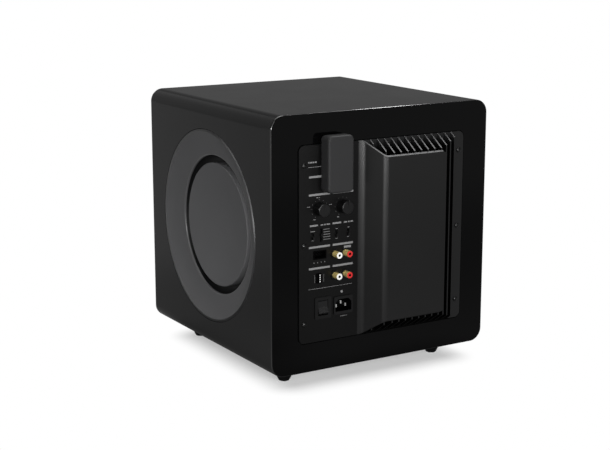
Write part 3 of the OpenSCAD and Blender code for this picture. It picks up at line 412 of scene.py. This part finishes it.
for name, side in (("right", 1), ("left", -1)):
    edge = turned(f"{name}_surround_skin", side, surround_outline(), "black_rubber", steps=192)
    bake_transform(edge)
    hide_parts(f"{name}_surround")
    cloth = turned(f"{name}_spider_cloth", side, spider_outline(), "spider_cloth", steps=96)
    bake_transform(cloth)
    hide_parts(f"{name}_spider")


# Marks printed on the control column: bars, ticks and dots in place of words
# Their places are in millimetres from the plate's middle

INK_BACK = REAR_Y + PLATE_OUT - 0.00002
INK_FRONT = REAR_Y + PLATE_OUT + 0.00005
marks = {"verts": [], "faces": []}


def printed(outline):
    """A flat mark with the given outline of (x, z), as thin as ink."""
    start = len(marks["verts"])
    n = len(outline)
    for y in (INK_BACK, INK_FRONT):
        marks["verts"] += [(x / 1000, y, MID_Z + z / 1000) for x, z in outline]
    marks["faces"].append(tuple(start + i for i in range(n)))
    marks["faces"].append(tuple(start + n + i for i in reversed(range(n))))
    for i in range(n):
        j = (i + 1) % n
        marks["faces"].append((start + i, start + n + i, start + n + j, start + j))


def bar(x0, x1, z0, z1):
    """A printed rectangle."""
    left, right = sorted((x0, x1))
    low, high = sorted((z0, z1))
    printed(((left, low), (right, low), (right, high), (left, high)))


def disc(x, z, r, sides=20):
    """A printed round dot."""
    turns = [2 * math.pi * i / sides for i in range(sides)]
    printed([(x + r * math.cos(a), z + r * math.sin(a)) for a in turns])


def row_of_bars(x0, x1, z, h, lengths, gap=1.0):
    """A line of short bars from x0 down to x1, as words would stand."""
    total = sum(lengths) + gap * (len(lengths) - 1)
    scale = (x0 - x1) / total
    x = x0
    for w in lengths:
        bar(x, x - w * scale, z - h / 2, z + h / 2)
        x -= (w + gap) * scale


# A heading with its line, and the wide bars over each group
row_of_bars(112.6, 100.4, 104.3, 1.8, (2, 3, 2, 3), gap=0.8)
bar(112.6, 94, 98.1, 98.6)
WIDE_BAR = 1.3
for z in (86.0, 63.4, -3.1, -30.4):
    for x0, x1 in ((111.4, 80.5), (76.4, 46.3)):
        bar(x0, x1, z - WIDE_BAR, z + WIDE_BAR)
row_of_bars(100.6, 96.0, 59.5, 1.1, (2, 1))

# Dots round the two knobs, with short bars beside and below
KNOBS_X = (96.3, 61.8)
KNOB_Z = 45.2
DOT_RING_R = 11.6
DOT_R = 0.28
for x in KNOBS_X:
    for turn in range(-150, 151, 30):
        a = math.radians(turn)
        disc(x - DOT_RING_R * math.sin(a), KNOB_Z + DOT_RING_R * math.cos(a), DOT_R)
for x in (112.0, 80.0):
    bar(x + 2.2, x - 2.2, 48.7, 49.3)
for x in (103.2, 68.5):
    bar(x + 1.6, x - 1.6, 31.6, 32.4)

# Bars over the four slide switches, their end marks and the five ticks
bar(110.1, 98.2, 23.4, 25.6)
row_of_bars(94.4, 80.6, 24.4, 1.7, (3, 2, 4))
bar(76.7, 64.0, 23.4, 25.6)
row_of_bars(60.1, 46.3, 24.4, 1.7, (4, 2, 3))
bar(109.0, 102.6, 16.9, 17.7)
for x, z in ((105.9, 5.6), (70.7, 17.3), (70.7, 4.7), (53.1, 17.4), (53.5, 5.2)):
    bar(x + 1.4, x - 1.4, z - 0.4, z + 0.4)
for i in range(5):
    bar(90.2, 81.4 - 0.4 * i, 18.0 - 3.2 * i, 18.6 - 3.2 * i)

# Marks at the sockets: a light plate, four dots, two lines, the rule below and single dots
bar(59.7, 49.2, -9.0, -6.2)
for i in range(4):
    disc(104.0 - 5.3 * i, -23.2, 0.6)
for x in (102.9, 89.6):
    bar(x - 0.15, x + 0.15, -48.8, -38.8)
bar(112, 46.8, -56.9, -56.5)
disc(62.8, -65.2, 1.7)
disc(97.4, -95.6, 0.8)
bar(64.7, 54.1, -97.6, -97.2)

printing = mesh_piece("panel_printing", marks["verts"], marks["faces"], "print_ink",
                      smooth=False)
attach(printing, "root")


# Floor, light and camera

# Floor colour as the camera sees it, and as it throws light back
FLOOR_SEEN = 0.60
FLOOR_BOUNCE = 0.10
# The shadow: half sizes of its core, how far it reaches beyond, and how much white is left in the core
SHADOW_CORE = (0.115, 0.125, 0.0)
SHADOW_REACH = 0.055
SHADOW_WHITE = 0.40
# The floor in reflections: its level, and its share of that in the core, a painted shade that rises up to
# some distance from it
FLOOR_GLOW = 0.60
CORE_SHARE = 0.12
CORE_REACH = 0.17
# Patches of painted shade in the floor's reflection: centre, inner and outer radius, level
FLOOR_REFLECTION_SHADE = (
    ((0.32, -0.28, 0.0), 0.10, 0.42, 0.70),
    ((-0.40, 0.80, 0.0), 0.10, 0.95, 0.62),
    ((0.70, 0.40, 0.0), 0.10, 0.60, 0.40),
    ((0.22, 0.41, 0.0), 0.08, 0.28, 0.25),
)
# Light from all round, apart from the lamps
STUDIO = 0.186


def seen_by_camera(tree, path):
    """1 for rays that the camera sees straight or through clear matter, 0 for others."""
    return maths(tree, "MAXIMUM", path.outputs["Is Camera Ray"], path.outputs["Is Transmission Ray"])


def floor_material():
    """Pale floor: seen white with the object's shadow on it, greyer and with painted shade in reflections,
    dim as bounce light.
    """
    mat = bpy.data.materials.new("studio_floor")
    mat.use_nodes = True
    tree = mat.node_tree
    bsdf = tree.nodes["Principled BSDF"]
    coords = object_coords(tree)
    path = tree.nodes.new("ShaderNodeLightPath")
    glossy = path.outputs["Is Glossy Ray"]
    seen = seen_by_camera(tree, path)
    tint = blend_colours(tree, seen)
    tint.inputs["A"].default_value = (FLOOR_BOUNCE, FLOOR_BOUNCE, FLOOR_BOUNCE, 1)
    tint.inputs["B"].default_value = (FLOOR_SEEN, FLOOR_SEEN, FLOOR_SEEN, 1)
    tree.links.new(tint.outputs["Result"], bsdf.inputs["Base Color"])
    bsdf.inputs["Roughness"].default_value = 0.9
    bsdf.inputs["Specular IOR Level"].default_value = 0.0

    # Distance from the shadow's core
    outside = vector(tree, "SUBTRACT", vector(tree, "ABSOLUTE", coords), SHADOW_CORE)
    gap = vector(tree, "LENGTH", vector(tree, "MAXIMUM", outside, (0.0, 0.0, 0.0)))

    # Share of plain white: all of it in reflections, less in the shadow
    fade = ramp(tree, gap, (0.0, SHADOW_REACH), (SHADOW_WHITE, 1.0), smooth=True)
    share = maths(tree, "MAXIMUM", maths(tree, "MULTIPLY", fade, seen), glossy)

    # Its level: 1 for the camera, the glow in reflections, dimmed by painted shade near the object and in
    # patches
    pale = ramp(tree, gap, (0.0, CORE_REACH), (CORE_SHARE * FLOOR_GLOW, FLOOR_GLOW), smooth=True)
    for centre, near, away, low in FLOOR_REFLECTION_SHADE:
        aside = vector(tree, "DISTANCE", coords, centre)
        pale = maths(tree, "MULTIPLY", ramp(tree, aside, (near, away), (low, 1.0), smooth=True), pale)
    level = ramp(tree, glossy, (0.0, 1.0), (1.0, 1.0))
    tree.links.new(pale, level.node.inputs["To Max"])

    glow = tree.nodes.new("ShaderNodeEmission")
    tree.links.new(level, glow.inputs["Strength"])
    both = tree.nodes.new("ShaderNodeMixShader")
    tree.links.new(share, both.inputs["Fac"])
    tree.links.new(bsdf.outputs["BSDF"], both.inputs[1])
    tree.links.new(glow.outputs["Emission"], both.inputs[2])
    tree.links.new(both.outputs["Shader"], tree.nodes["Material Output"].inputs["Surface"])
    return mat


bpy.ops.mesh.primitive_plane_add(size=16, location=(0, 0, 0))
floor = bpy.context.object
floor.name = "floor"
floor.data.materials.append(floor_material())

world = bpy.data.worlds.new("studio")
scene.world = world
world.use_nodes = True
sky = world.node_tree
back = sky.nodes["Background"]
seen = seen_by_camera(sky, sky.nodes.new("ShaderNodeLightPath"))
sky.links.new(ramp(sky, seen, (0.0, 1.0), (STUDIO, 1.0)), back.inputs["Strength"])
back.inputs["Color"].default_value = (1, 1, 1, 1)


def look_along(obj, direction):
    """Turns a lamp or a camera to face along a direction."""
    obj.rotation_euler = direction.to_track_quat("-Z", "Y").to_euler()


def softbox(name, at, aim, size, power):
    """A rectangular lamp that the camera doesn't see."""
    data = bpy.data.lights.new(name, "AREA")
    data.shape = "RECTANGLE"
    data.size, data.size_y = size
    data.energy = power
    obj = bpy.data.objects.new(name, data)
    scene.collection.objects.link(obj)
    obj.location = at
    look_along(obj, Vector(aim) - Vector(at))
    obj.visible_camera = False


softbox("front_light", (0.23, 0.98, 0.33), (0.03, 0.16, 0.24), (0.90, 0.13), 6.6)
softbox("side_light", (0.95, 1.35, 0.45), (0.165, 0.0, 0.19), (0.40, 0.40), 12)
softbox("high_light", (0.50, 1.065, 1.15), (0.05, 0.05, 0.20), (0.50, 0.50), 4)
softbox("edge_light", (-0.80, -0.20, 1.60), (0.05, 0.05, 0.20), (0.45, 0.45), 14)
# Three cards in one plane behind, each narrower, so that the side's reflection falls off softly
CARD_Y = -1.70
CARD_Z = 1.025
CARD_H = 1.45
for name, x, width, power in (("back_light", 0.75, 1.70, 2.5), ("back_card", 0.975, 1.25, 2.4),
                              ("back_edge", 1.20, 0.80, 1.8)):
    softbox(name, (x, CARD_Y, CARD_Z), (x, 0.0, CARD_Z), (width, CARD_H), power)
softbox("overhead", (0.0, 0.0, 2.0), (0.0, 0.0, 0.0), (1.50, 1.50), 24)

# The photo's view
YAW = -2.5935
PITCH = -0.2141
cam_data = bpy.data.cameras.new("camera")
cam = bpy.data.objects.new("camera", cam_data)
scene.collection.objects.link(cam)
cam_data.sensor_width = 36.0
cam_data.lens = 81.37
cam.location = (0.984085, 1.576069, 0.576816)
look_along(cam, Vector((math.sin(YAW) * math.cos(PITCH), math.cos(YAW) * math.cos(PITCH), math.sin(PITCH))))
scene.camera = cam
scene.view_settings.view_transform = "Standard"
